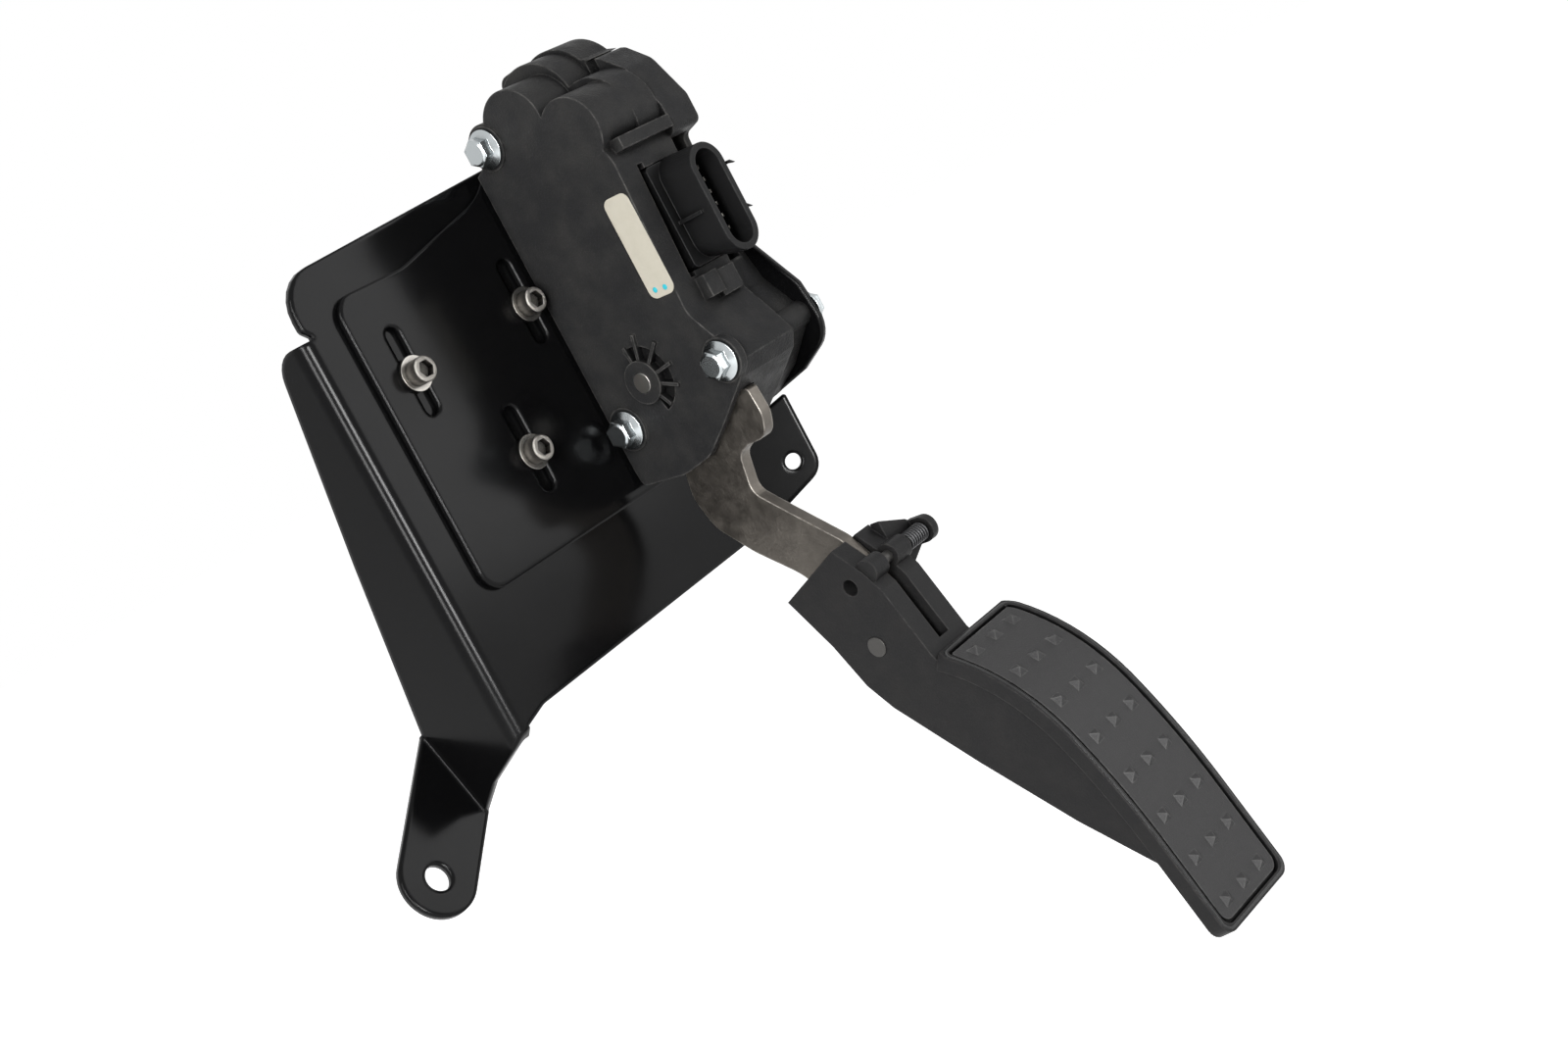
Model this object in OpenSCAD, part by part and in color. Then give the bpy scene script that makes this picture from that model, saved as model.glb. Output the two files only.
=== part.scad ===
// Accelerator pedal with an electronic pedal module, bolted to a folded steel bracket.
// Sizes are in millimetres. +Z is up, -Y faces the driver and +Y faces the bulkhead.
// The origin is the centre of the bolt hole in the bracket's foot, on its front face.
// The shapes are laid out about the pedal pivot's height, the plate's front face and
// the side flange's inner face, and at_foot() then carries them to the origin.

/* [Bracket] */
// Thickness of the bracket's sheet
sheet_t = 3; // [2:0.5:4]
// Distance from the left flange's outer face to the side flange's inner face
plate_w = 161; // [156:1:175]
// Height of the main plate above the pedal pivot, at its right end
plate_top = 102; // [98:1:112]
// Depth of the main plate below the pedal pivot, at its right end
plate_low = 80; // [76:1:90]
// Inside radius of the folds
fold_r = 3; // [2:0.5:4]
// Thickness of the module plate, which the slot screws clamp to the bracket
module_t = 2.5; // [2:0.25:3]
// Length of each adjusting slot
slot_len = 36; // [30:1:40]
// Width of each adjusting slot
slot_w = 7; // [6.6:0.2:8]
// How far the side flange reaches towards the driver
flange_reach = 82; // [80:1:90]
// Angle that the side ear is folded towards the driver
ear_fold = 40; // [30:1:50]
// Width of the side ear along its face
ear_w = 35.4; // [32:0.2:42]
// Radius of the bolt hole in the side ear
ear_hole_r = 3.4; // [3:0.1:4.5]
// Angle that the foot leans back from upright
foot_lean = 18; // [10:1:25]
// Width of the foot strip
foot_w = 30.8; // [26:0.2:36]
// Distance from the left flange to the foot's bolt hole, along the strip
foot_reach = 43.7; // [38:0.1:56]
// Radius of the bolt hole in the foot
foot_hole_r = 5.3; // [4:0.1:6.5]

/* [Slot screws] */
// Radius of the screw thread
screw_r = 3; // [2.5:0.25:3.25]
// Radius of the socket head
screw_head_r = 5; // [4.5:0.25:5.5]
// Height of the socket head
screw_head_h = 6; // [5:0.5:7]
// Radius of the washer under the head
washer_r = 7; // [6.5:0.25:8]
// Thickness of the washer
washer_t = 1.6; // [1:0.2:2.4]

/* [Pedal module] */
// Width of the module along the pedal shaft
module_w = 50; // [48:1:54]
// Width of the module's rear half along the pedal shaft
rear_w = 16; // [14:1:18]
// Thickness of the module's moulded walls
wall = 3; // [2.4:0.2:3.4]
// Distance from the plate's front face to the module's back
module_gap = 4; // [3:0.5:5]
// Distance from the plate's front face to the pedal shaft
pivot_out = 33; // [32:0.5:34]
// Radius of the upper rear lobe of the face
lobe_r = 15.5; // [14.5:0.25:16.5]
// Radius of the shank of the three flange bolts
bolt_r = 3; // [2.5:0.25:3.5]
// Radius of the flange under each bolt head
bolt_flange_r = 7.9; // [7:0.1:8.4]
// Width across the flats of the bolt heads
bolt_hex = 10; // [9:0.5:11]

/* [Connector] */
// Outside width of the plug socket
socket_w = 18; // [17:0.5:20]
// Outside height of the plug socket
socket_h = 43.5; // [40:0.5:46]
// Depth of the plug socket in front of its base
socket_d = 19; // [16:0.5:22]
// Wall of the plug socket
socket_wall = 2.6; // [2:0.2:3.2]

/* [Pedal arm] */
// Thickness of the steel arm
arm_t = 5.5; // [5:0.25:6]
// Radius of the pedal shaft
shaft_r = 4; // [3.5:0.25:4.5]
// Radius of the arm's boss round the shaft
arm_boss_r = 12; // [10:0.5:13]

/* [Pedal pad] */
// Width of the pad carrier's cheeks together
carrier_w = 25; // [23:0.5:28]
// Radius of the hinge pin between the arm and the carrier
hinge_r = 4; // [3.5:0.25:4.5]
// Width of the pad
pad_w = 49.3; // [46:0.5:54]
// Thickness of the pad's tray
pad_t = 6.5; // [6:0.25:8]
// Rows of studs along the pad
stud_rows = 8; // [6:1:8]
// Distance between rows of studs
stud_pitch = 18.6; // [16:0.2:19]
// Distance from the pad's ends to the first and last row of studs
stud_margin = 9.94; // [8:0.02:14]
// Height of each stud
stud_h = 2; // [1:0.1:2.6]
// Radius of the lock rod
rod_r = 2.4; // [2:0.1:2.8]
// Diameter of the wire of the lock rod's spring
spring_wire = 1.1; // [0.8:0.1:1.3]

/* [Hidden] */
$fn = 48;
fit = 0.05;
running_gap = 1.5;
stop_gap = 0.3;
part_gap = 0.3;
nip = 0.01;

// Places on the bracket, as [x, z] on the plate and [y, z] on the flanges
left_x = -plate_w;
fold_out = fold_r + sheet_t;
face_x = -module_w;
// Distance from the module's face to the middle of the slot beside it
slot_beside = 8.4;
slot_at = [[-123.2, 44.5], [-91, -1.5], [face_x - slot_beside, 48.5]];
screw_z = [43.2, -3.3, 46.8];
ear_hole = [ear_w - 10, -60.2];
foot_slope = 37.8;
foot_top = [49.6, -77.2];
foot_mid = 20;
flange_top = plate_top + 15;
flange_low = -40;
foot_lap = sheet_t * 0.8 * [cos(foot_lean), -sin(foot_lean)];

// Places in the module, as [y, z]
pivot = [-pivot_out, 0];
back_y = -module_gap;
bolt_at = [[-16.5, 105.5], [-74.3, -4.9], [-12.5, -14.1]];
bolt_boss_r = bolt_flange_r + 1.7;
lobe_at = [[-34, 106.3], [-59, 93.3]];
rear_lobe_at = [[-30.5, 107.5], [-54.5, 92]];
mid_x = -30;
arm_x = face_x + wall + 2;
arm_back_x = arm_x + arm_t;
socket_at = [-23.5, 49.5];
socket_base_y = -70;
socket_left = 13;
socket_right = 11;
cavity_x = -rear_w;

// Places on the carrier, as [y, z]
hinge_at = [-80.2, -126];
rod_at = [-92, -98];
carrier_x = arm_x + arm_t / 2 - carrier_w / 2;
carrier_end_x = carrier_x + carrier_w;
pad_x = carrier_x - 1.5;
rim = 2.6;
tread_gap = 1.3;
rim_h = 2.4;
tread_drop = 0.5;
tread_seat = 0.1;
pad_start = [-105.8, -135.4];
pad_turn_1 = [62, 22, 85];
pad_turn_2 = [22, 12.5, 300];
pad_len_1 = pad_turn_1[2] * (pad_turn_1[0] - pad_turn_1[1]) * PI / 180;
pad_len_2 = pad_turn_2[2] * (pad_turn_2[0] - pad_turn_2[1]) * PI / 180;
pad_len = (stud_rows - 1) * stud_pitch + 2 * stud_margin;
rod_travel = 5;
collar_x = carrier_end_x + 1;
lug_end_x = carrier_end_x + 18;

// Unit vector along v
function unit(v) = v / norm(v);

// Arc of radius r in the corner at p, between its neighbours a and b
function corner(a, p, b, r, n) = let(
    u = unit(a - p), v = unit(b - p), half = acos(u * v) / 2,
    c = p + unit(u + v) * r / sin(half),
    s = p + u * r / tan(half), e = p + v * r / tan(half),
    a0 = atan2(s[1] - c[1], s[0] - c[0]), a1 = atan2(e[1] - c[1], e[0] - c[0]),
    turn = (a1 - a0 + 540) % 360 - 180)
    [for (i = [0:n]) c + r * [cos(a0 + turn * i / n), sin(a0 + turn * i / n)]];

// Outline p with the corner radii r, where 0 leaves a corner sharp
function rounded(p, r, n = 6) = [for (i = [0:len(p) - 1])
    each (r[i] > 0 ? corner(p[(i + len(p) - 1) % len(p)], p[i], p[(i + 1) % len(p)], r[i], n) : [p[i]])];

// Direction of the pad's surface at the distance s from its upper end, from straight down
function pad_angle(s) = s < pad_len_1 ? pad_turn_1[0] - s / pad_turn_1[2] * 180 / PI
    : s < pad_len_1 + pad_len_2 ? pad_turn_2[0] - (s - pad_len_1) / pad_turn_2[2] * 180 / PI
    : pad_turn_2[1];

// Point at the angle t on an arc that starts at p with the angle from, all on the pad's surface
function arc_point(p, from, t, r) = p - r * [cos(t) - cos(from), sin(from) - sin(t)];
pad_joint_1 = arc_point(pad_start, pad_turn_1[0], pad_turn_1[1], pad_turn_1[2]);
pad_joint_2 = arc_point(pad_joint_1, pad_turn_2[0], pad_turn_2[1], pad_turn_2[2]);

// Point [y, z] on the pad's surface at the distance s, raised by h
function pad_point(s, h = 0) = let(t = pad_angle(s))
    (s < pad_len_1 ? arc_point(pad_start, pad_turn_1[0], t, pad_turn_1[2])
    : s < pad_len_1 + pad_len_2 ? arc_point(pad_joint_1, pad_turn_2[0], t, pad_turn_2[2])
    : pad_joint_2 - (s - pad_len_1 - pad_len_2) * [sin(t), cos(t)])
    + h * [-cos(t), sin(t)];

// Band along the pad between the heights low and high, from the distance a to b
function pad_band(a, b, low, high, n = 26) = concat(
    [for (i = [0:n]) pad_point(a + (b - a) * i / n, high)],
    [for (i = [n:-1:0]) pad_point(a + (b - a) * i / n, low)]);

// Carries the layout to the foot hole
foot_hole_s = foot_mid + foot_reach * sin(foot_slope);
foot_hole_x = left_x - foot_reach * cos(foot_slope);
foot_hole = [foot_hole_x, foot_top[0] - foot_hole_s * sin(foot_lean), foot_top[1] - foot_hole_s * cos(foot_lean)];
module at_foot() translate(-foot_hole) children();

// A [y, z] outline as a slab from x = a to x = b, and an [x, z] outline from y = a to y = b
module slab_x(a, b) translate([a, 0, 0]) rotate([90, 0, 90]) linear_extrude(b - a) children();
module slab_y(a, b) translate([0, b, 0]) rotate([90, 0, 0]) linear_extrude(b - a) children();
module rod_x(a, b, r, at) translate([a, at[0], at[1]]) rotate([0, 90, 0]) cylinder(r = r, h = b - a);

// Closed coil of round wire round the x axis
module coil(r, wire, length, turns, sides = 8, steps = 20) {
    n = round(turns * steps);
    points = [for (i = [0:n]) let(a = 360 * i / steps, x = wire / 2 + (length - wire) * i / n)
        for (k = [0:sides - 1]) let(b = 360 * k / sides, q = r + wire / 2 * cos(b))
            [x + wire / 2 * sin(b), q * cos(a), q * sin(a)]];
    skin = [for (i = [0:n - 1]) for (k = [0:sides - 1]) let(m = (k + 1) % sides)
        each [[i * sides + k, i * sides + m, (i + 1) * sides + m],
            [i * sides + k, (i + 1) * sides + m, (i + 1) * sides + k]]];
    first = [for (k = [sides - 1:-1:0]) k];
    last = [for (k = [0:sides - 1]) n * sides + k];
    polyhedron(points, concat([first], skin, [last]));
}

// Bracket

// Plan of the left flange and its fold
module left_fold_plan() {
    n = 8;
    c = [left_x + fold_out, fold_out];
    polygon(concat([[left_x, 70]],
        [for (i = [0:n]) c + fold_out * [cos(180 + 90 * i / n), sin(180 + 90 * i / n)]],
        [[c[0] + 4, 0], [c[0] + 4, sheet_t]],
        [for (i = [n:-1:0]) c + fold_r * [cos(180 + 90 * i / n), sin(180 + 90 * i / n)]],
        [[left_x + sheet_t, 70]]));
}

// Plan of a fold at the right edge of a sheet of thickness t, with a straight stretch of the length run
module right_fold_plan(turn, run, t) {
    n = 8;
    c = [-fold_r * tan(turn / 2), -fold_r];
    away = [sin(turn), cos(turn)];
    along = [cos(turn), -sin(turn)];
    polygon(concat([[c[0] - 4, t], [c[0] - 4, 0]],
        [for (i = [0:n]) c + fold_r * [sin(turn * i / n), cos(turn * i / n)]],
        [c + fold_r * away + run * along, c + (fold_r + t) * away + run * along],
        [for (i = [n:-1:0]) c + (fold_r + t) * [sin(turn * i / n), cos(turn * i / n)]]));
}

module plate_outline() {
    ear_x = left_x + 4;
    polygon(rounded([[left_x + fold_out + 1, -89], [-142, -85.3], [-fold_r - 6, -plate_low],
        [-fold_r - 1, -plate_low], [-fold_r - 1, plate_top], [-fold_r - 6, plate_top],
        [ear_x, plate_top - 7.5], [ear_x, 75], [left_x + fold_out + 1, 72]], [0, 8, 0, 0, 0, 0, 16, 3, 0]));
}

module left_flange_outline()
    polygon(rounded([[-1, 71], [16.5, 71], [35.5, -9.4], foot_top, foot_top + foot_lap,
        foot_top + foot_lap - 38 * [sin(foot_lean), cos(foot_lean)], [25.5, -103.6], [4.2, -93.7],
        [-1, -88.5]], [0, 12, 0, 0, 0, 0, 0, 14, 0]));

module side_flange_outline()
    polygon(rounded([[1, flange_top], [-28, flange_top], [-68, 26], [2 - flange_reach, 6],
        [-flange_reach - 1, -16], [-62.2, -25.8], [1, flange_low]], [0, 12, 8, 4, 13, 2, 0]));

module ear_outline()
    polygon(rounded([[1, -41.5], [ear_w, -33.8], [ear_w, -68.2], [1, -plate_low]], [0, 1, 9, 0]));

module module_plate_outline() polygon(rounded([[left_x + 20, flange_low - 1], [left_x + 20, 80],
    [-104, 80], [-54, 91], [-22, flange_top], [-fold_r - 1, flange_top], [-fold_r - 1, flange_low],
    [-fold_r - 6, flange_low]], [9, 9, 30, 30, 9, 0, 0, 0]));

// Outline of a slot that stands upright about [x, z]
module slot_outline(at) translate(at) {
    square([slot_w, slot_len - slot_w], center = true);
    for (s = [-1, 1]) translate([0, s * (slot_len - slot_w) / 2]) circle(d = slot_w);
}

// Foot strip, on the plane that leans back by foot_lean
module foot_plane() translate([left_x, foot_top[0], foot_top[1]]) rotate([90 - foot_lean, 0, 0]) children();

module foot_outline() {
    translate([0, -foot_mid]) rotate(foot_slope) {
        translate([-foot_reach, -foot_w / 2]) square([foot_reach + foot_w / 2, foot_w]);
        translate([-foot_reach, 0]) circle(d = foot_w);
    }
}

module bracket() color([0.03, 0.03, 0.035]) at_foot() difference() {
    union() {
        slab_y(0, sheet_t) plate_outline();
        intersection() {
            translate([0, 0, -115]) linear_extrude(190) left_fold_plan();
            slab_x(left_x - 1, left_x + fold_out + 2) left_flange_outline();
            translate([left_x - 1, -2, -115]) cube([fold_out + 3, 70, 190]);
        }
        intersection() {
            translate([0, 0, -plate_low]) linear_extrude(plate_low - 42) right_fold_plan(ear_fold, 3, sheet_t);
            translate([-8, -12, -plate_low]) cube([20, 20, plate_low - 42]);
        }
        rotate([0, 0, -ear_fold]) slab_y(0, sheet_t) intersection() {
            ear_outline();
            translate([fold_r * tan(ear_fold / 2), -90]) square([60, 60]);
        }
        foot_plane() translate([0, 0, -sheet_t]) linear_extrude(sheet_t) intersection() {
            foot_outline();
            translate([-90, -70]) square([90 + sheet_t / 2, 70]);
        }
    }
    for (i = [0:2]) translate([slot_at[i][0], -1, screw_z[i]]) rotate([-90, 0, 0])
        cylinder(r = screw_r + 0.3, h = sheet_t + 2);
    rotate([0, 0, -ear_fold]) translate([ear_hole[0], -1, ear_hole[1]]) rotate([-90, 0, 0])
        cylinder(r = ear_hole_r, h = sheet_t + 2);
    foot_plane() translate([foot_hole_x - left_x, -foot_hole_s, -sheet_t - 1])
        cylinder(r = foot_hole_r, h = sheet_t + 2);
}

// Module plate, which slides up and down on the bracket when its screws are loose

module module_plate() color([0.04, 0.04, 0.045]) at_foot() difference() {
    union() {
        slab_y(-module_t, 0) module_plate_outline();
        translate([0, -module_t, 0]) intersection() {
            translate([0, 0, flange_low - 5]) linear_extrude(flange_top - flange_low + 10)
                right_fold_plan(90, flange_reach, module_t);
            slab_x(-fold_r - 5, module_t + 1) union() {
                translate([module_t, 0]) side_flange_outline();
                translate([0, flange_low]) square([module_t + 1, flange_top - flange_low]);
            }
        }
    }
    for (at = slot_at) slab_y(-module_t - 1, 1) slot_outline(at);
    for (at = bolt_at) rod_x(-1, module_t + 1, bolt_r + 0.3, at);
}

// Screws, washers and nuts in the adjusting slots

module at_screws() for (i = [0:2])
    translate([slot_at[i][0], -module_t - fit, screw_z[i]]) rotate([90, 0, 0]) children();
clamp_t = sheet_t + module_t + fit;

module slot_washers() color("silver") at_foot() at_screws() difference() {
    cylinder(r = washer_r, h = washer_t);
    translate([0, 0, -1]) cylinder(r = screw_r + 0.3, h = washer_t + 2);
}

module slot_screws() color("silver") at_foot() at_screws() {
    shank = clamp_t + 2 * screw_r + 2;
    translate([0, 0, -shank]) cylinder(r = screw_r, h = shank + washer_t);
    translate([0, 0, washer_t]) difference() {
        rotate_extrude() polygon([[0, 0], [screw_head_r, 0], [screw_head_r, screw_head_h - 0.5],
            [screw_head_r - 0.5, screw_head_h], [0, screw_head_h]]);
        translate([0, 0, screw_head_h / 2]) cylinder(d = screw_r * 2 / cos(30), h = screw_head_h, $fn = 6);
    }
}

module slot_nuts() color("silver") at_foot() at_screws()
    translate([0, 0, -clamp_t - screw_r * 2]) difference() {
        union() {
            cylinder(d = screw_r * 3.4 / cos(30), h = screw_r * 2, $fn = 6);
            translate([0, 0, screw_r * 2 - 1.2]) cylinder(r = washer_r, h = 1.2);
        }
        translate([0, 0, -1]) cylinder(r = screw_r, h = screw_r * 2 + 2);
    }

// Pedal module

// Outline of the front half's face
module face_outline() {
    polygon(rounded([[back_y, 98], [lobe_at[0][0], 110], [lobe_at[1][0], 100], [-72, 80], [-69, 16],
        [-76, 4], [-82, -8], [-78, -14], [-60.4, -26.3], [-45, -36.1], [-28.5, -39.1], [back_y - 0.6, -37],
        [back_y, -30]], [0, 0, 0, 14, 10, 0, 0, 0, 6, 12, 20, 3, 0]));
    for (at = lobe_at) translate(at) circle(r = at == lobe_at[0] ? lobe_r : lobe_r - 0.5);
    for (at = bolt_at) translate(at) intersection() {
        circle(r = bolt_boss_r);
        translate([-at[0] + back_y - 30, -30]) square([30, 60]);
    }
}

// Outline of the rear half, which stands out round the upper lobes
module rear_outline() {
    polygon(rounded([[back_y, 128.5], [-16, 129], rear_lobe_at[0], [-48, 119], [-58, 115.5], [-67.5, 107],
        [-75, 89], [-75, 78], [-65.5, 75.6], [-63, 28], [-66, 13], [-76, 3], [-82, -8], [-76, -14],
        [-60, -22], [-45, -30], [back_y, -30]], [5, 4, 0, 3, 5, 9, 5, 3, 3, 0, 4, 6, 0, 0, 0, 6, 4]));
    translate(rear_lobe_at[0]) circle(r = lobe_r + 6);
    translate(bolt_at[1]) circle(r = bolt_boss_r);
}

// Outline of the wider lobes that the front half has near its parting face
module mid_outline() {
    translate(rear_lobe_at[0]) circle(r = lobe_r + 4.5);
    translate(rear_lobe_at[1]) circle(r = lobe_r + 4);
}

// Space inside both halves, clear of the bolt bosses
module cavity_outline() difference() {
    polygon([[back_y - wall, -30 + wall], [back_y - wall, 92], [lobe_at[1][0], 92], [-72 + wall, 76],
        [-65.5 + wall, 16], [-63, -16], [-44, -30 + wall]]);
    for (at = bolt_at) translate(at) circle(r = bolt_r + wall + 0.8);
}

// Opening for the plug socket's base, as [y, z]
module socket_opening() translate([socket_base_y - 10, socket_at[1] - 20.5 - part_gap])
    square([16.5, 41.5 + 2 * part_gap]);

// Star of ribs on one side of the shaft's hub, sunk in the face
hub_r = 8.8;
star_r = 18;
module star_pocket() translate(pivot) difference() {
    intersection() {
        circle(r = star_r - 4);
        polygon([[0, 0], [8, 30], [-40, 30], [-40, -30], [-8, -30]]);
    }
    circle(r = hub_r);
}
module star_ribs() translate(pivot) for (a = [[84, 15], [108, 19], [141, 19], [172, 17], [202, 17], [238, 14]])
    rotate(a[0]) translate([0, -0.7]) square([a[1], 1.4]);

module front_housing() color([0.09, 0.09, 0.095]) at_foot() difference() {
    union() {
        difference() {
            union() {
                slab_x(face_x, cavity_x) face_outline();
                slab_x(mid_x, cavity_x) mid_outline();
                slab_x(mid_x - 8, mid_x) translate([-74, 17]) square([8, 9]);
                slab_x(mid_x, cavity_x - 2) translate([-72, 15]) square([8, 10]);
            }
            slab_x(socket_at[0] - socket_left - 3, socket_at[0] - socket_left) translate([-80, 27])
                square([13, 46]);
            slab_x(face_x + wall, cavity_x + 1) cavity_outline();
            slab_x(face_x - 1, face_x + wall - 1) star_pocket();
        }
        slab_x(face_x - 1.2, face_x + wall) star_ribs();
        rod_x(face_x - 2, face_x + wall, hub_r, pivot);
        for (at = bolt_at) rod_x(face_x - 0.8, face_x + wall, bolt_boss_r - 0.6, at);
        slab_x(face_x + 10, face_x + 18) translate([back_y - 1, 66])
            square([1 + module_gap - module_t - part_gap, 8]);
        slab_x(face_x + 4, cavity_x) translate([-76, 80]) square([10, 5]);
    }
    slab_x(face_x + wall, arm_back_x + running_gap)
        polygon([[-95, -18.5 + stop_gap], [-66.5, -18.5 + stop_gap], [-62, -10], [-20.3, -12], [-18, -22.5],
            [-9.5, -34], [-6, -46], [-6, -60], [-95, -60]]);
    for (at = bolt_at) rod_x(face_x - 2, 1, bolt_r + 0.3, at);
    rod_x(face_x - 3, cavity_x, shaft_r + fit, pivot);
    slab_x(socket_at[0] - socket_left - part_gap, cavity_x + 1) socket_opening();
}

module rear_housing() color([0.07, 0.07, 0.075]) at_foot() difference() {
    union() {
        slab_x(-rear_w, 0) rear_outline();
        slab_x(-rear_w - 6, -rear_w + 4) translate([-30, 119]) square([8, 7]);
    }
    slab_x(-rear_w - 1, -wall) cavity_outline();
    slab_x(-rear_w - 7, -rear_w) {
        face_outline();
        mid_outline();
    }
    for (at = bolt_at) rod_x(-rear_w - 1, 1, bolt_r + 0.3, at);
    rod_x(-wall - 1, -wall / 2, shaft_r + fit, pivot);
    translate([0, 0, flange_low - 5]) linear_extrude(flange_top - flange_low + 30)
        polygon([[-fold_r, back_y + 1], [1, back_y + 1], [1, back_y - fold_r]]);
    translate([-rear_w / 2, -53, 114]) cube([rear_w + 2, 5, 6], center = true);
    slab_x(-rear_w - 1, socket_at[0] + socket_right + part_gap) socket_opening();
}

module housing_bolts() color("silver") at_foot() for (at = bolt_at) {
    rod_x(face_x - 0.8, module_t + 8, bolt_r, at);
    translate([face_x - 0.8, at[0], at[1]]) rotate([0, -90, 0]) {
        rotate_extrude() polygon([[0, 0], [bolt_flange_r, 0], [bolt_flange_r, 1], [bolt_hex / 2, 2.4], [0, 2.4]]);
        cylinder(d = bolt_hex / cos(30), h = 6.2, $fn = 6);
        translate([0, 0, 6.2]) cylinder(r1 = bolt_hex / 2, r2 = bolt_hex / 2 - 0.8, h = 0.6);
    }
}

module housing_nuts() color("silver") at_foot() for (at = bolt_at) difference() {
    union() {
        rod_x(module_t, module_t + 1.2, bolt_flange_r, at);
        translate([module_t, at[0], at[1]]) rotate([0, 90, 0]) cylinder(d = bolt_hex / cos(30), h = 6, $fn = 6);
    }
    rod_x(module_t - 1, module_t + 7, bolt_r, at);
}

// Plug socket on the module's front

// Upright oval of the size w by h, as [x, z]
module oval(w, h) {
    square([w, h - w], center = true);
    for (s = [-1, 1]) translate([0, s * (h - w) / 2]) circle(d = w);
}

socket_drop = 2.4;
module connector_socket() color([0.1, 0.1, 0.105]) at_foot() translate([socket_at[0], 0, socket_at[1]])
    difference() {
        union() {
            slab_y(socket_base_y - 1.5, socket_base_y + 3)
                polygon(rounded([[-socket_left, -20.5], [-socket_left, 21], [socket_right, 21],
                    [socket_right, -20.5]], [2, 2, 2, 2]));
            slab_y(socket_base_y, socket_base_y + 5) square([22, 38], center = true);
            hull() {
                translate([0, 0, 1]) slab_y(socket_base_y - nip, socket_base_y) oval(socket_w - 1.5, socket_h - 2.5);
                translate([0, 0, 1 - socket_drop]) slab_y(socket_base_y - socket_d, socket_base_y - socket_d + 2)
                    oval(socket_w, socket_h);
            }
            translate([0, 0, -socket_drop]) slab_y(socket_base_y - socket_d + 5, socket_base_y)
                translate([-socket_w / 2 - 1, -1]) square([3, 1.4]);
            for (z = [-8, 9]) translate([0, 0, z]) slab_y(socket_base_y - socket_d + 3, socket_base_y)
                translate([socket_w / 2 - 1, 0]) square([2.4, 2]);
        }
        hull() {
            translate([0, 0, 1]) slab_y(socket_base_y - 2 - nip, socket_base_y - 2)
                oval(socket_w - 2 * socket_wall - 1, socket_h - 2 * socket_wall - 2);
            translate([0, 0, 1 - socket_drop]) slab_y(socket_base_y - socket_d - 1, socket_base_y - socket_d)
                oval(socket_w - 2 * socket_wall, socket_h - 2 * socket_wall);
        }
    }

blade_rows = [-2.2, 2.2];
module connector_blades() color("silver") at_foot() translate([socket_at[0], 0, socket_at[1]])
    for (x = blade_rows) for (z = [-12.5:5:12.5])
        translate([x - 0.4, socket_base_y - 12, z - 0.8]) cube([0.8, 10.01, 1.6]);

module sensor_board() color("darkgreen") at_foot() translate([socket_at[0] - 8, socket_base_y + 5, socket_at[1] - 17])
    cube([20, 1.6, 34]);

module sensor_rotor() color([0.2, 0.2, 0.22]) at_foot() difference() {
    union() {
        rod_x(-rear_w + 2, -rear_w + 7, 11, pivot);
        slab_x(-rear_w + 2, -rear_w + 5) translate([pivot[0] - 4, 0]) square([8, 19]);
    }
    rod_x(-rear_w, -rear_w + 8, shaft_r, pivot);
}

module spring_drum() color([0.16, 0.16, 0.17]) at_foot() difference() {
    union() {
        rod_x(arm_back_x, -rear_w + 1, 7, pivot);
        rod_x(arm_back_x, arm_back_x + 2, 15, pivot);
    }
    rod_x(arm_back_x - 1, -rear_w + 2, shaft_r, pivot);
}

spring_room = -rear_w - arm_back_x - 4;
module return_spring(r, wire, turns) color("dimgray") at_foot()
    translate([arm_back_x + 2.4, pivot[0], pivot[1]]) coil(r, wire, spring_room, turns);
module return_spring_outer() return_spring(12.6, 2.6, 5.5);
module return_spring_inner() return_spring(9.2, 2, 6.5);

module pivot_shaft() color("silver") at_foot() rod_x(face_x - 2.4, -wall / 2 - 0.3, shaft_r, pivot);

// Pedal arm

module arm_outline() {
    polygon(concat(rounded([pivot + [10, -4], [-27, -26], [-23.4, -39], [-20.5, -50], [-24, -63.5], [-37, -78],
        [-53.4, -92], [-73.3, -121]], [0, 20, 12, 20, 16, 30, 30, 0]),
        rounded([[-89, -124], [-86.8, -97], [-80, -85], [-60, -65.5], [-50.5, -56], [-54, -41], [-60, -38.4],
        [-70.5, -38.4], [-74.3, -30], [-73.5, -18.5], [-66, -18.5], pivot + [-9, 8]],
        [0, 12, 12, 20, 7, 5, 5, 6, 10, 2, 3, 0])));
}

module pedal_arm() color([0.33, 0.31, 0.29]) at_foot() difference() {
    union() {
        slab_x(arm_x, arm_back_x) arm_outline();
        rod_x(arm_x, arm_back_x, arm_boss_r, pivot);
        rod_x(arm_x, arm_back_x, hinge_r + 5, hinge_at);
    }
    rod_x(arm_x - 1, arm_back_x + 1, shaft_r, pivot);
    rod_x(arm_x - 1, arm_back_x + 1, hinge_r + fit, hinge_at);
}

// Pad carrier, with its cheeks, lug and tray

cheek_gap = 0.4;
module carrier_outline() polygon(concat(
    [[-82, -86], [-49.5, -98.9], [-59.8, -120.8], [-66.1, -139.4], [-73.1, -150.5], [-99.2, -180], [-128.7, -211.2],
        pad_point(pad_len - 33, -pad_t)],
    [for (i = [16:-1:0]) pad_point((pad_len - 33) * i / 16, -pad_t / 2)],
    [[-102.6, -135], [-95.6, -106.3], [-91, -97.6]]));

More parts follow.
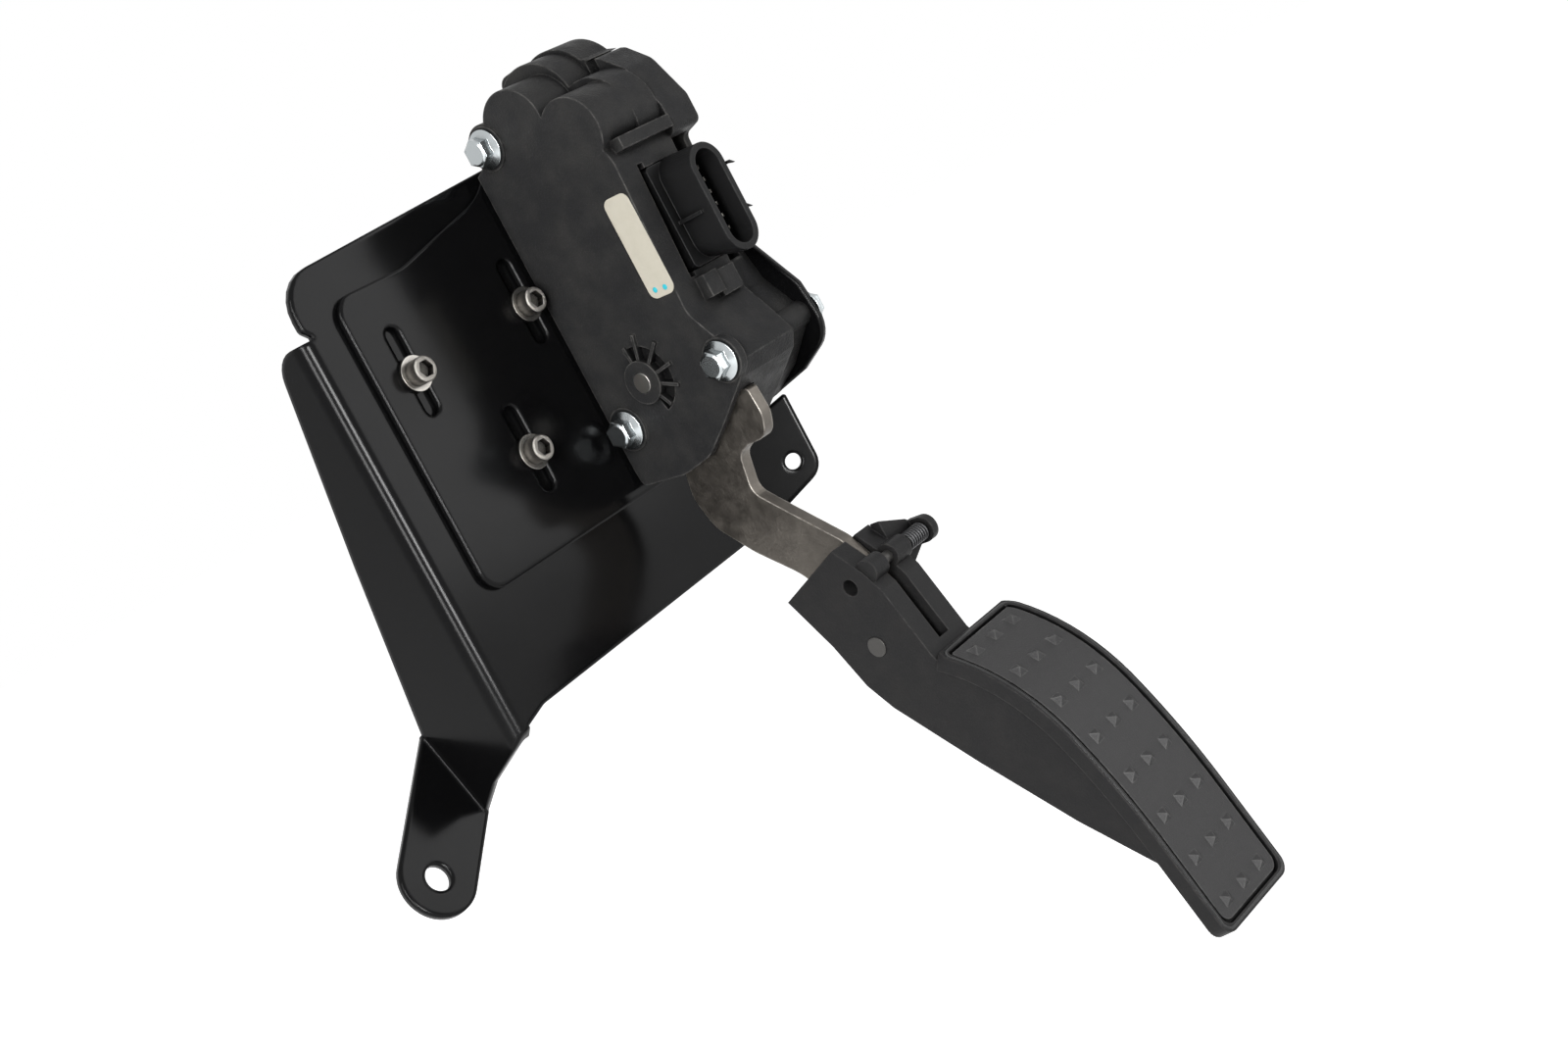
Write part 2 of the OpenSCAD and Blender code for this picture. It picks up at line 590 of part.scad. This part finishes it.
// Cuts a slab of the carrier's profile down to the rounded plan of the pad
module pad_plan(margin) {
    t = pad_turn_2[1];
    tip = pad_point(pad_len - margin);
    head = pad_point(margin);
    run = (tip - head) * [-sin(t), -cos(t)];
    translate([pad_x + margin, tip[0], tip[1]]) rotate([-t, 0, 0]) rotate([90, 0, 0])
        translate([0, 0, -70]) linear_extrude(140)
            polygon(rounded([[0, 0], [pad_w - 2 * margin, 0], [pad_w - 2 * margin, run + 1], [0, run + 1]],
                [for (i = [0:3]) 5.5 - margin / 3]));
}

module pad_slab(margin, low, high) intersection() {
    slab_x(pad_x + margin, pad_x + pad_w - margin) polygon(pad_band(margin, pad_len - margin, low, high));
    pad_plan(margin);
}

// Hollow of the carrier's underside, between its ribs
module carrier_pockets() difference() {
    polygon([[-64, -152], [-70.5, -142], [-79, -151.5], [-102, -166], [-124, -195], [-137, -222], [-130, -222],
        [-100, -190]]);
    for (k = [0:2]) translate([-86 - 17 * k, -172 - 20 * k]) rotate(-42) square([40, wall], center = true);
}

spring_room_r = rod_r + spring_wire + 0.4;
lug_end_r = rod_r + 2.8;
lug_end_t = 3.6;
module carrier_lug() {
    slab_y(rod_at[0] + spring_room_r, rod_at[0] + spring_room_r + 4.5)
        polygon(rounded([[carrier_end_x - 1, -86], [lug_end_x - 5, -91.4], [lug_end_x, -95.5],
            [lug_end_x, -102], [carrier_end_x - 1, -111]], [0, 3, 2, 3, 0]));
    rod_x(lug_end_x - lug_end_t, lug_end_x, lug_end_r, rod_at);
    translate([lug_end_x - lug_end_t, rod_at[0], rod_at[1] - lug_end_r])
        cube([lug_end_t, spring_room_r + 2, 2 * lug_end_r]);
}

module pad_carrier() color([0.1, 0.1, 0.105]) at_foot() difference() {
    union() {
        slab_x(carrier_x, carrier_end_x) carrier_outline();
        pad_slab(0, -pad_t, 0);
        carrier_lug();
        rod_x(carrier_x + 1, carrier_end_x, rod_r + 2.4, rod_at);
    }
    slab_x(arm_x - cheek_gap, arm_back_x + cheek_gap)
        polygon([[-115, -70], [-40, -70], [-48, -105], [-62, -105], [-71, -118.1], [-74, -126], [-78, -135],
            [-92, -137], [-104, -131]]);
    rod_x(arm_x - cheek_gap, arm_back_x + cheek_gap, hinge_r + 5 + cheek_gap, hinge_at);
    slab_x(carrier_x + wall, carrier_end_x - wall) carrier_pockets();
    pad_slab(rim, -rim_h, 4);
    rod_x(carrier_x + 3, lug_end_x + 1, rod_r + fit, rod_at);
    rod_x(carrier_x - 1, carrier_end_x + 1, hinge_r, hinge_at);
    rod_x(carrier_x - 1, arm_x, 3.3, [-82, -101.4]);
}

module tread_pad() color([0.05, 0.05, 0.05]) at_foot() {
    pad_slab(rim + tread_gap, -rim_h + tread_seat, -tread_drop);
    for (i = [0:stud_rows - 1]) for (j = [-1:1]) {
        s = stud_margin + i * stud_pitch;
        p = pad_point(s, -tread_drop - 0.1);
        translate([pad_x + pad_w / 2 + j * 13, p[0], p[1]]) rotate([90 - pad_angle(s), 0, 0])
            rotate([0, 0, 45]) cylinder(r1 = 3.7, r2 = 0.3, h = stud_h, $fn = 4);
    }
}

module hinge_pin() color("silver") at_foot() rod_x(carrier_x - 0.4, carrier_end_x + 0.4, hinge_r, hinge_at);

module lock_rod() color("silver") at_foot() {
    rod_x(carrier_x + 4, lug_end_x - 1, rod_r, rod_at);
    rod_x(collar_x - 0.9, collar_x + 0.6, rod_r + 1.1, rod_at);
}

module lock_spring() color("dimgray") at_foot() translate([collar_x + 0.65, rod_at[0], rod_at[1]])
    coil(rod_r + spring_wire / 2 + 0.25, spring_wire, lug_end_x - lug_end_t - collar_x - 0.7, 8, 8, 18);

// Blank sticker on the module's face
module sticker() color([0.85, 0.84, 0.8]) at_foot() slab_x(face_x - 0.25, face_x)
    polygon(rounded([[-70.2, 25.5], [-56.8, 26], [-56.8, 67], [-70.2, 66.5]], [3.5, 3.5, 3.5, 3.5]));

bracket();
module_plate();
slot_screws();
slot_washers();
slot_nuts();
front_housing();
rear_housing();
housing_bolts();
housing_nuts();
connector_socket();
connector_blades();
sensor_board();
sensor_rotor();
spring_drum();
return_spring_outer();
return_spring_inner();
pivot_shaft();
pedal_arm();
pad_carrier();
tread_pad();
hinge_pin();
lock_rod();
lock_spring();
sticker();
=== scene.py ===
from math import cos, radians, sin

import bmesh
import bpy
from mathutils import Matrix, Vector


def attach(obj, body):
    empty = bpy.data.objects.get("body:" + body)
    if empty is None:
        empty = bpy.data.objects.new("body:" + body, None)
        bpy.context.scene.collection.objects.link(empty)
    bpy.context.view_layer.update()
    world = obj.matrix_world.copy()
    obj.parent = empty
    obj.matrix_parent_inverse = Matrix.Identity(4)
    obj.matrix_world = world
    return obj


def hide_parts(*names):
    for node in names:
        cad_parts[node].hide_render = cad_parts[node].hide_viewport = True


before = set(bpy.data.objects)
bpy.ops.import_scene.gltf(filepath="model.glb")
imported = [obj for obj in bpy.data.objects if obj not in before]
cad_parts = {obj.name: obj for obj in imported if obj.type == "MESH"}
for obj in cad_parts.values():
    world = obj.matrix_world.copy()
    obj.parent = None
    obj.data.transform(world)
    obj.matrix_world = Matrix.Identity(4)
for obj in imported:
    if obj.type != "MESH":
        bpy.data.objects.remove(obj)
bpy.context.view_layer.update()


# Shader steps

WHITE = (1, 1, 1, 1)
MIX_BASE, MIX_OVER, MIX_RESULT = 6, 7, 2


def link(tree, a, b):
    tree.links.new(a, b)


def noise(tree, place, scale, detail=4, rough=0.5):
    node = tree.nodes.new("ShaderNodeTexNoise")
    node.inputs["Scale"].default_value = scale
    node.inputs["Detail"].default_value = detail
    node.inputs["Roughness"].default_value = rough
    link(tree, place, node.inputs["Vector"])
    return node.outputs["Fac"]


def mask(tree, value, low, high, start=0.0, end=1.0):
    """From start to end as the value goes from low to high."""
    node = tree.nodes.new("ShaderNodeMapRange")
    for name, level in (("From Min", low), ("From Max", high), ("To Min", start), ("To Max", end)):
        node.inputs[name].default_value = level
    link(tree, value, node.inputs["Value"])
    return node.outputs["Result"]


def blend(tree, factor, base, over):
    """The colour over on base, each a tuple or an output, by the factor."""
    node = tree.nodes.new("ShaderNodeMix")
    node.data_type = "RGBA"
    for socket, colour in ((node.inputs[MIX_BASE], base), (node.inputs[MIX_OVER], over)):
        if isinstance(colour, tuple):
            socket.default_value = (*colour, 1)
        else:
            link(tree, colour, socket)
    link(tree, factor, node.inputs[0])
    return node.outputs[MIX_RESULT]


def combine(tree, operation, *values):
    """One maths step on two values, each a number or an output."""
    node = tree.nodes.new("ShaderNodeMath")
    node.operation = operation
    for socket, value in zip(node.inputs, values):
        if isinstance(value, float):
            socket.default_value = value
        else:
            link(tree, value, socket)
    return node.outputs[0]


def relief(tree, height, distance, normal):
    node = tree.nodes.new("ShaderNodeBump")
    node.inputs["Distance"].default_value = distance
    link(tree, height, node.inputs["Height"])
    link(tree, normal, node.inputs["Normal"])
    return node.outputs["Normal"]


def soft_normal(tree, radius, samples):
    """The surface's direction with its edges rounded to the radius."""
    node = tree.nodes.new("ShaderNodeBevel")
    node.samples = samples
    node.inputs["Radius"].default_value = radius
    return node.outputs["Normal"]


# Finishes, with lengths in metres

EDGE_SAMPLES = 16
WEAR_SAMPLES = 6
WEAR_WIDTH = 0.0011
WEAR_SCALE = 260
HOLLOW_SAMPLES = 6
TINT_START = 0.42
TINT_SPREAD = 0.3


def tinted(tree, place, paint, tint):
    scale, second, amount = tint
    spots = noise(tree, place, scale, 6, 0.65)
    return blend(tree, mask(tree, spots, TINT_START, TINT_START + TINT_SPREAD / amount), paint, second)


def rubbed(tree, place, paint, rub):
    """The edges show where the rounded direction parts from the flat one."""
    colour, amount = rub
    facing = tree.nodes.new("ShaderNodeVectorMath")
    facing.operation = "DOT_PRODUCT"
    link(tree, soft_normal(tree, WEAR_WIDTH, WEAR_SAMPLES), facing.inputs[0])
    link(tree, tree.nodes.new("ShaderNodeNewGeometry").outputs["Normal"], facing.inputs[1])
    edges = mask(tree, facing.outputs["Value"], 0.995, 0.9)
    patches = mask(tree, noise(tree, place, WEAR_SCALE, 5, 0.6), 0.35, 0.62)
    worn = combine(tree, "MULTIPLY", edges, patches)
    return blend(tree, combine(tree, "MULTIPLY", worn, amount), paint, colour)


# Painted shade: the colour goes darker in hollows that ambient occlusion finds within the reach
def shadowed(tree, colour, paint, depth):
    distance, amount = depth
    hollow = tree.nodes.new("ShaderNodeAmbientOcclusion")
    hollow.samples = HOLLOW_SAMPLES
    hollow.inputs["Distance"].default_value = distance
    dark = tuple(c * (1 - amount) for c in colour)
    return blend(tree, mask(tree, hollow.outputs["AO"], 0.9, 0.35), paint, dark)


def brushed(tree, place, brush, normal):
    scale, height = brush
    stretch = tree.nodes.new("ShaderNodeMapping")
    stretch.inputs["Scale"].default_value = scale
    link(tree, place, stretch.inputs["Vector"])
    return relief(tree, noise(tree, stretch.outputs["Vector"], 1, 3), height, normal)


def shade(name, colour, rough, metal=0.0, spec=0.5, edge=0.0004, grain=None, tint=None, brush=None,
          rub=None, depth=None, smear=None):
    """A finish with edges rounded to the radius edge.
    grain is (scale, height), tint is (scale, second colour, how much of it),
    brush is (scale along x, y and z, height), rub is (colour, how much) on worn edges,
    depth is (reach, how dark) of the shade painted into hollows and smear is (scale, change of
    roughness)."""
    mat = bpy.data.materials.new(name)
    mat.use_nodes = True
    tree = mat.node_tree
    skin = tree.nodes["Principled BSDF"]
    skin.inputs["Base Color"].default_value = (*colour, 1)
    skin.inputs["Roughness"].default_value = rough
    skin.inputs["Metallic"].default_value = metal
    skin.inputs["Specular IOR Level"].default_value = spec
    place = tree.nodes.new("ShaderNodeTexCoord").outputs["Object"]
    paint = colour
    if tint:
        paint = tinted(tree, place, paint, tint)
    if rub:
        paint = rubbed(tree, place, paint, rub)
    # Shade painted into the hollows
    if depth:
        paint = shadowed(tree, colour, paint, depth)
    if paint is not colour:
        link(tree, paint, skin.inputs["Base Color"])
    if smear:
        scale, change = smear
        patches = noise(tree, place, scale, 5, 0.6)
        varied = mask(tree, patches, 0.35, 0.65, rough - change, rough + change)
        link(tree, varied, skin.inputs["Roughness"])
    normal = soft_normal(tree, edge, EDGE_SAMPLES)
    if brush:
        normal = brushed(tree, place, brush, normal)
    if grain:
        scale, height = grain
        normal = relief(tree, noise(tree, place, scale), height, normal)
    link(tree, normal, skin.inputs["Normal"])
    return mat


# The depth values below paint shade into each finish's hollows, such as the screws' hex sockets, the
# spring's coil gaps and the plug socket's mouth
PAINT = shade("gloss black paint", (0.0025, 0.0025, 0.0027), 0.17, spec=0.11, edge=0.0026,
              smear=(14, 0.03))
STAINLESS = shade("stainless steel", (0.28, 0.268, 0.25), 0.27, metal=1, edge=0.0003,
                  grain=(900, 0.00002), depth=(0.003, 0.85))
KNURL = shade("knurled stainless steel", (0.24, 0.228, 0.21), 0.3, metal=1, edge=0.00025,
              brush=((2600, 150, 2600), 0.0004), depth=(0.005, 1))
ZINC = shade("bright zinc", (0.46, 0.49, 0.5), 0.2, metal=1, edge=0.0003, grain=(500, 0.00003),
             depth=(0.003, 0.8))
NYLON = shade("black nylon", (0.0165, 0.0165, 0.017), 0.48, spec=0.08, edge=0.0006,
              grain=(1200, 0.0003), tint=(55, (0.034, 0.033, 0.031), 0.6),
              rub=((0.1, 0.097, 0.092), 0.8), depth=(0.006, 0.8), smear=(120, 0.1))
NYLON_SOCKET = shade("socket nylon", (0.009, 0.009, 0.0093), 0.4, spec=0.1, edge=0.0006,
                     grain=(1500, 0.00004), rub=((0.03, 0.03, 0.03), 0.7), depth=(0.01, 0.9))
BOARD = shade("circuit board", (0.03, 0.16, 0.07), 0.45, tint=(400, (0.02, 0.1, 0.04), 0.6))
CONTACT = shade("tinned contacts", (0.12, 0.115, 0.105), 0.35, metal=1, depth=(0.01, 0.95))
ROTOR = shade("rotor plastic", (0.1, 0.1, 0.11), 0.5, grain=(900, 0.00005))
SPRING = shade("spring steel", (0.085, 0.085, 0.088), 0.36, metal=1, edge=0.0001, depth=(0.002, 1))
SHAFT = shade("ground steel", (0.42, 0.41, 0.39), 0.3, metal=1, edge=0.0005, grain=(700, 0.00003),
              depth=(0.003, 0.7))
PIN = shade("hinge pin steel", (0.07, 0.068, 0.065), 0.4, metal=0.7, edge=0.0004, spec=0.2,
            grain=(800, 0.00004))
ARM = shade("arm steel", (0.1, 0.09, 0.079), 0.42, metal=0.9, edge=0.0006, grain=(650, 0.0001),
            tint=(70, (0.17, 0.155, 0.135), 0.6), rub=((0.45, 0.42, 0.38), 0.75), smear=(160, 0.1))
CARRIER = shade("carrier nylon", (0.014, 0.0138, 0.0142), 0.46, spec=0.1, edge=0.0006,
                grain=(1100, 0.00012), tint=(90, (0.021, 0.02, 0.0195), 0.5),
                rub=((0.05, 0.048, 0.046), 0.6), depth=(0.005, 0.8))
BEAD = shade("polished nylon rim", (0.016, 0.016, 0.0165), 0.26, spec=0.3, edge=0.0002,
             smear=(200, 0.08))
TREAD = shade("tread rubber", (0.034, 0.0335, 0.034), 0.46, spec=0.16, edge=0.0001,
              grain=(1400, 0.0002), rub=((0.12, 0.118, 0.115), 0.8), depth=(0.002, 0.8))
LABEL = shade("label film", (0.43, 0.405, 0.34), 0.4, edge=0.0002,
              tint=(300, (0.39, 0.365, 0.3), 0.6))
INK = shade("teal ink", (0.03, 0.42, 0.5), 0.5)

WEARS = {
    "bracket": PAINT, "module_plate": PAINT, "slot_screws": KNURL, "slot_washers": STAINLESS,
    "slot_nuts": STAINLESS,
    "front_housing": NYLON, "rear_housing": NYLON, "housing_bolts": ZINC, "housing_nuts": ZINC,
    "connector_socket": NYLON_SOCKET, "connector_blades": CONTACT, "sensor_board": BOARD,
    "sensor_rotor": ROTOR, "spring_drum": ROTOR, "return_spring_outer": SPRING,
    "return_spring_inner": SPRING, "pivot_shaft": SHAFT, "pedal_arm": ARM, "pad_carrier": CARRIER,
    "tread_pad": TREAD, "hinge_pin": PIN, "lock_rod": PIN, "lock_spring": SPRING, "sticker": LABEL,
}
for name, mat in WEARS.items():
    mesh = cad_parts[name].data
    mesh.materials.clear()
    mesh.materials.append(mat)


# Places, in millimetres about the pivot, the plate's face and the flange, carried to the foot hole

FOOT_HOLE = (-195.53, 35.143, -121.694)


def at(x, y, z):
    return Vector(((x - FOOT_HOLE[0]) / 1000, (y - FOOT_HOLE[1]) / 1000, (z - FOOT_HOLE[2]) / 1000))


def place_on(piece, body):
    """Puts a new piece in the scene, on its body."""
    bpy.context.scene.collection.objects.link(piece)
    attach(piece, body)


MODULE = "module"


# Rear half of the housing, whose boss round the lower bolt is slimmer than the front half's

BOSS = at(0, -74.3, -4.9)
BOSS_INSIDE = 0.007
BOSS_OUTSIDE = 0.0105
BOSS_SLIMMING = 0.48

shell = bpy.data.objects.new("rear_shell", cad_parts["rear_housing"].data.copy())
place_on(shell, MODULE)
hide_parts("rear_housing")
for vertex in shell.data.vertices:
    out = Vector((0, vertex.co.y - BOSS.y, vertex.co.z - BOSS.z))
    if BOSS_INSIDE < out.length < BOSS_OUTSIDE:
        vertex.co -= out * BOSS_SLIMMING


# Teal dots on the sticker

DOT_X = -50.27
DOTS = [(-60.4, 29.2), (-65.6, 28.6)]
DOT_RADIUS = 1.1
DOT_HEIGHT = 0.08


def dot(name, centre):
    """A thin disc on the housing's face."""
    bpy.ops.mesh.primitive_cylinder_add(vertices=24, radius=DOT_RADIUS / 1000, depth=DOT_HEIGHT / 1000)
    piece = bpy.context.object
    piece.name = name
    turn = Vector((0, 0, 1)).rotation_difference(Vector((1, 0, 0))).to_matrix().to_4x4()
    piece.data.transform(Matrix.Translation(centre) @ turn)
    piece.data.materials.append(INK)
    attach(piece, MODULE)


for i, (y, z) in enumerate(DOTS):
    dot(f"label_dot_{i}", at(DOT_X, y, z))


# Barbs on the plug socket's far side

BARBS = [(-84.5, 58.6), (-82.3, 41.2)]
BARB_LEFT, BARB_RIGHT = -13.4, -11.9
BARB_EDGE = 0.15


def barb(name, y, z):
    """A hooked tongue from its root at [y, z], through the thickness along X."""
    outline = [(y, z - 0.7), (y - 4.5, z - 0.7), (y - 6.9, z - 1.3), (y - 4.6, z + 0.5), (y, z + 0.7)]
    count = len(outline)
    points = [at(x, a, b) for x in (BARB_LEFT, BARB_RIGHT) for a, b in outline]
    faces = [tuple(range(count)), tuple(range(2 * count - 1, count - 1, -1))]
    faces += [(i, i + count, (i + 1) % count + count, (i + 1) % count) for i in range(count)]
    mesh = bpy.data.meshes.new(name)
    mesh.from_pydata(points, [], faces)
    form = bmesh.new()
    form.from_mesh(mesh)
    bmesh.ops.recalc_face_normals(form, faces=form.faces)
    form.to_mesh(mesh)
    form.free()
    mesh.materials.append(NYLON_SOCKET)
    piece = bpy.data.objects.new(name, mesh)
    place_on(piece, MODULE)
    soft = piece.modifiers.new("rounded edges", "BEVEL")
    soft.width = BARB_EDGE / 1000
    soft.segments = 2


for i, (y, z) in enumerate(BARBS):
    barb(f"socket_barb_{i}", y, z)


# Polished bead round the pad's rim, on the same two arcs and straight end as the pad

PAD_START = (-105.8, -135.4)
PAD_X, PAD_W, PAD_LEN = -56.25, 49.3, 150.08
PAD_TURNS = [(62, 22, 85), (22, 12.5, 300)]
BEAD_MARGIN = 1.35
BEAD_HEIGHT = -0.95
BEAD_CORNER = 4.2
BEAD_RADIUS = 1.15
CORNER_STEPS = 6
SIDE_STEPS = 36


def pad_point(s, h):
    """Place [y, z] at the distance s along the pad, raised by h."""
    y, z = PAD_START
    for start, end, radius in PAD_TURNS:
        length = radius * radians(start - end)
        turn = radians(start) - min(s, length) / radius
        y -= radius * (cos(turn) - cos(radians(start)))
        z -= radius * (sin(radians(start)) - sin(turn))
        s -= length
        if s <= 0:
            break
    else:
        y -= s * sin(turn)
        z -= s * cos(turn)
    return y - h * cos(turn), z + h * sin(turn)


def inwards(spot, size):
    """The corner's radius, from either end of the size towards its middle."""
    return BEAD_CORNER if spot < size / 2 else -BEAD_CORNER


def rim_plan():
    """Points [across, along] round the pad, with rounded corners and steps down its long sides."""
    right, end = PAD_W - BEAD_MARGIN, PAD_LEN - BEAD_MARGIN
    corners = [(BEAD_MARGIN, BEAD_MARGIN, 180), (right, BEAD_MARGIN, 270), (right, end, 0),
               (BEAD_MARGIN, end, 90)]
    plan = []
    for i, (across, along, turn) in enumerate(corners):
        middle = (across + inwards(across, PAD_W), along + inwards(along, PAD_LEN))
        for k in range(CORNER_STEPS + 1):
            a = radians(turn + 90 / CORNER_STEPS * k)
            plan.append((middle[0] + BEAD_CORNER * cos(a), middle[1] + BEAD_CORNER * sin(a)))
        if i % 2:
            after = corners[(i + 1) % 4]
            ends = (plan[-1], (after[0], after[1] + inwards(after[1], PAD_LEN)))
            for share in [k / SIDE_STEPS for k in range(1, SIDE_STEPS)]:
                plan.append(tuple(a + (b - a) * share for a, b in zip(*ends)))
    return plan


def rim_bead(name):
    data = bpy.data.curves.new(name, "CURVE")
    data.dimensions = "3D"
    data.bevel_depth = BEAD_RADIUS / 1000
    data.bevel_resolution = 3
    data.use_fill_caps = True
    plan = rim_plan()
    line = data.splines.new("POLY")
    line.points.add(len(plan) - 1)
    for spot, (across, along) in zip(line.points, plan):
        spot.co = (*at(PAD_X + across, *pad_point(along, BEAD_HEIGHT)), 1)
    line.use_cyclic_u = True
    data.materials.append(BEAD)
    place_on(bpy.data.objects.new(name, data), "pad")


rim_bead("pad_rim_bead")


# Stage

FLOOR_Z = -0.158
FLOOR_SIZE = 14
FLOOR_COLOUR = (0.8, 0.8, 0.8)
FLOOR_SHINE = 0.8
SKY_LIGHT = 0.32


def seen(tree):
    """1 for what the camera sees straight or in a gloss or clear surface, and 0 for other light."""
    path = tree.nodes.new("ShaderNodeLightPath")
    bounced = combine(tree, "MAXIMUM", path.outputs["Is Glossy Ray"], path.outputs["Is Transmission Ray"])
    return combine(tree, "MAXIMUM", path.outputs["Is Camera Ray"], bounced)


def floor_finish():
    mat = bpy.data.materials.new("pale floor")
    mat.use_nodes = True
    tree = mat.node_tree
    skin = tree.nodes["Principled BSDF"]
    skin.inputs["Base Color"].default_value = (*FLOOR_COLOUR, 1)
    skin.inputs["Roughness"].default_value = 1
    skin.inputs["Specular IOR Level"].default_value = 0
    skin.inputs["Emission Color"].default_value = WHITE
    link(tree, combine(tree, "MULTIPLY", seen(tree), FLOOR_SHINE), skin.inputs["Emission Strength"])
    return mat


def backdrop(tree, strength):
    node = tree.nodes.new("ShaderNodeBackground")
    node.inputs["Color"].default_value = WHITE
    node.inputs["Strength"].default_value = strength
    return node.outputs[0]


bpy.ops.mesh.primitive_plane_add(size=FLOOR_SIZE, location=(0.1, 0.2, FLOOR_Z))
floor = bpy.context.object
floor.name = "floor"
floor.data.materials.append(floor_finish())

world = bpy.data.worlds.new("studio")
bpy.context.scene.world = world
world.use_nodes = True
tree = world.node_tree
tree.nodes.clear()
mix = tree.nodes.new("ShaderNodeMixShader")
for socket, source in zip(mix.inputs, (seen(tree), backdrop(tree, SKY_LIGHT), backdrop(tree, 1))):
    link(tree, source, socket)
link(tree, mix.outputs[0], tree.nodes.new("ShaderNodeOutputWorld").inputs["Surface"])


# Lamps, in metres and watts

def lamp(name, place, aim, size, power):
    data = bpy.data.lights.new(name, "AREA")
    data.shape = "RECTANGLE"
    data.size, data.size_y = size
    data.energy = power
    obj = bpy.data.objects.new(name, data)
    bpy.context.scene.collection.objects.link(obj)
    obj.location = place
    obj.rotation_euler = (Vector(aim) - Vector(place)).to_track_quat("-Z", "Y").to_euler()
    return obj


MIDDLE = (0.1, -0.05, 0.06)
LEFT_BEND = (0.035, -0.035, 0)
lamp("key", (-1.3, -0.7, 1.1), MIDDLE, (0.6, 0.6), 11)
lamp("fill", (1.1, -1.3, 0.5), MIDDLE, (0.5, 1.2), 6)
lamp("streak", (-1.2, -0.95, 0.42), MIDDLE, (0.26, 1.15), 28)
# The glint only shines in glossy surfaces, where it draws the line down the bracket's left bend
glint = lamp("glint", (-0.353, -1.484, 0.12), LEFT_BEND, (0.24, 0.5), 23)
glint.visible_diffuse = False


# Camera, where the photograph was taken from

PHOTO_WIDTH_PX = 1600
FOCAL_LENGTH_PX = 2500
SENSOR_MM = 36
EYE = at(-705.49, -701.22, 46.32)
RIGHT = Vector((0.57454, -0.67465, -0.46341))
DOWN = Vector((-0.40596, 0.25675, -0.87709))
FORWARD = Vector((0.71071, 0.69204, -0.12637))

data = bpy.data.cameras.new("photo")
data.sensor_width = SENSOR_MM
data.lens = FOCAL_LENGTH_PX * SENSOR_MM / PHOTO_WIDTH_PX
data.clip_end = 50
camera = bpy.data.objects.new("photo", data)
bpy.context.scene.collection.objects.link(camera)
facing = Matrix([(RIGHT[i], -DOWN[i], -FORWARD[i]) for i in range(3)]).to_4x4()
camera.matrix_world = Matrix.Translation(EYE) @ facing
bpy.context.scene.camera = camera
bpy.context.scene.view_settings.view_transform = "Standard"
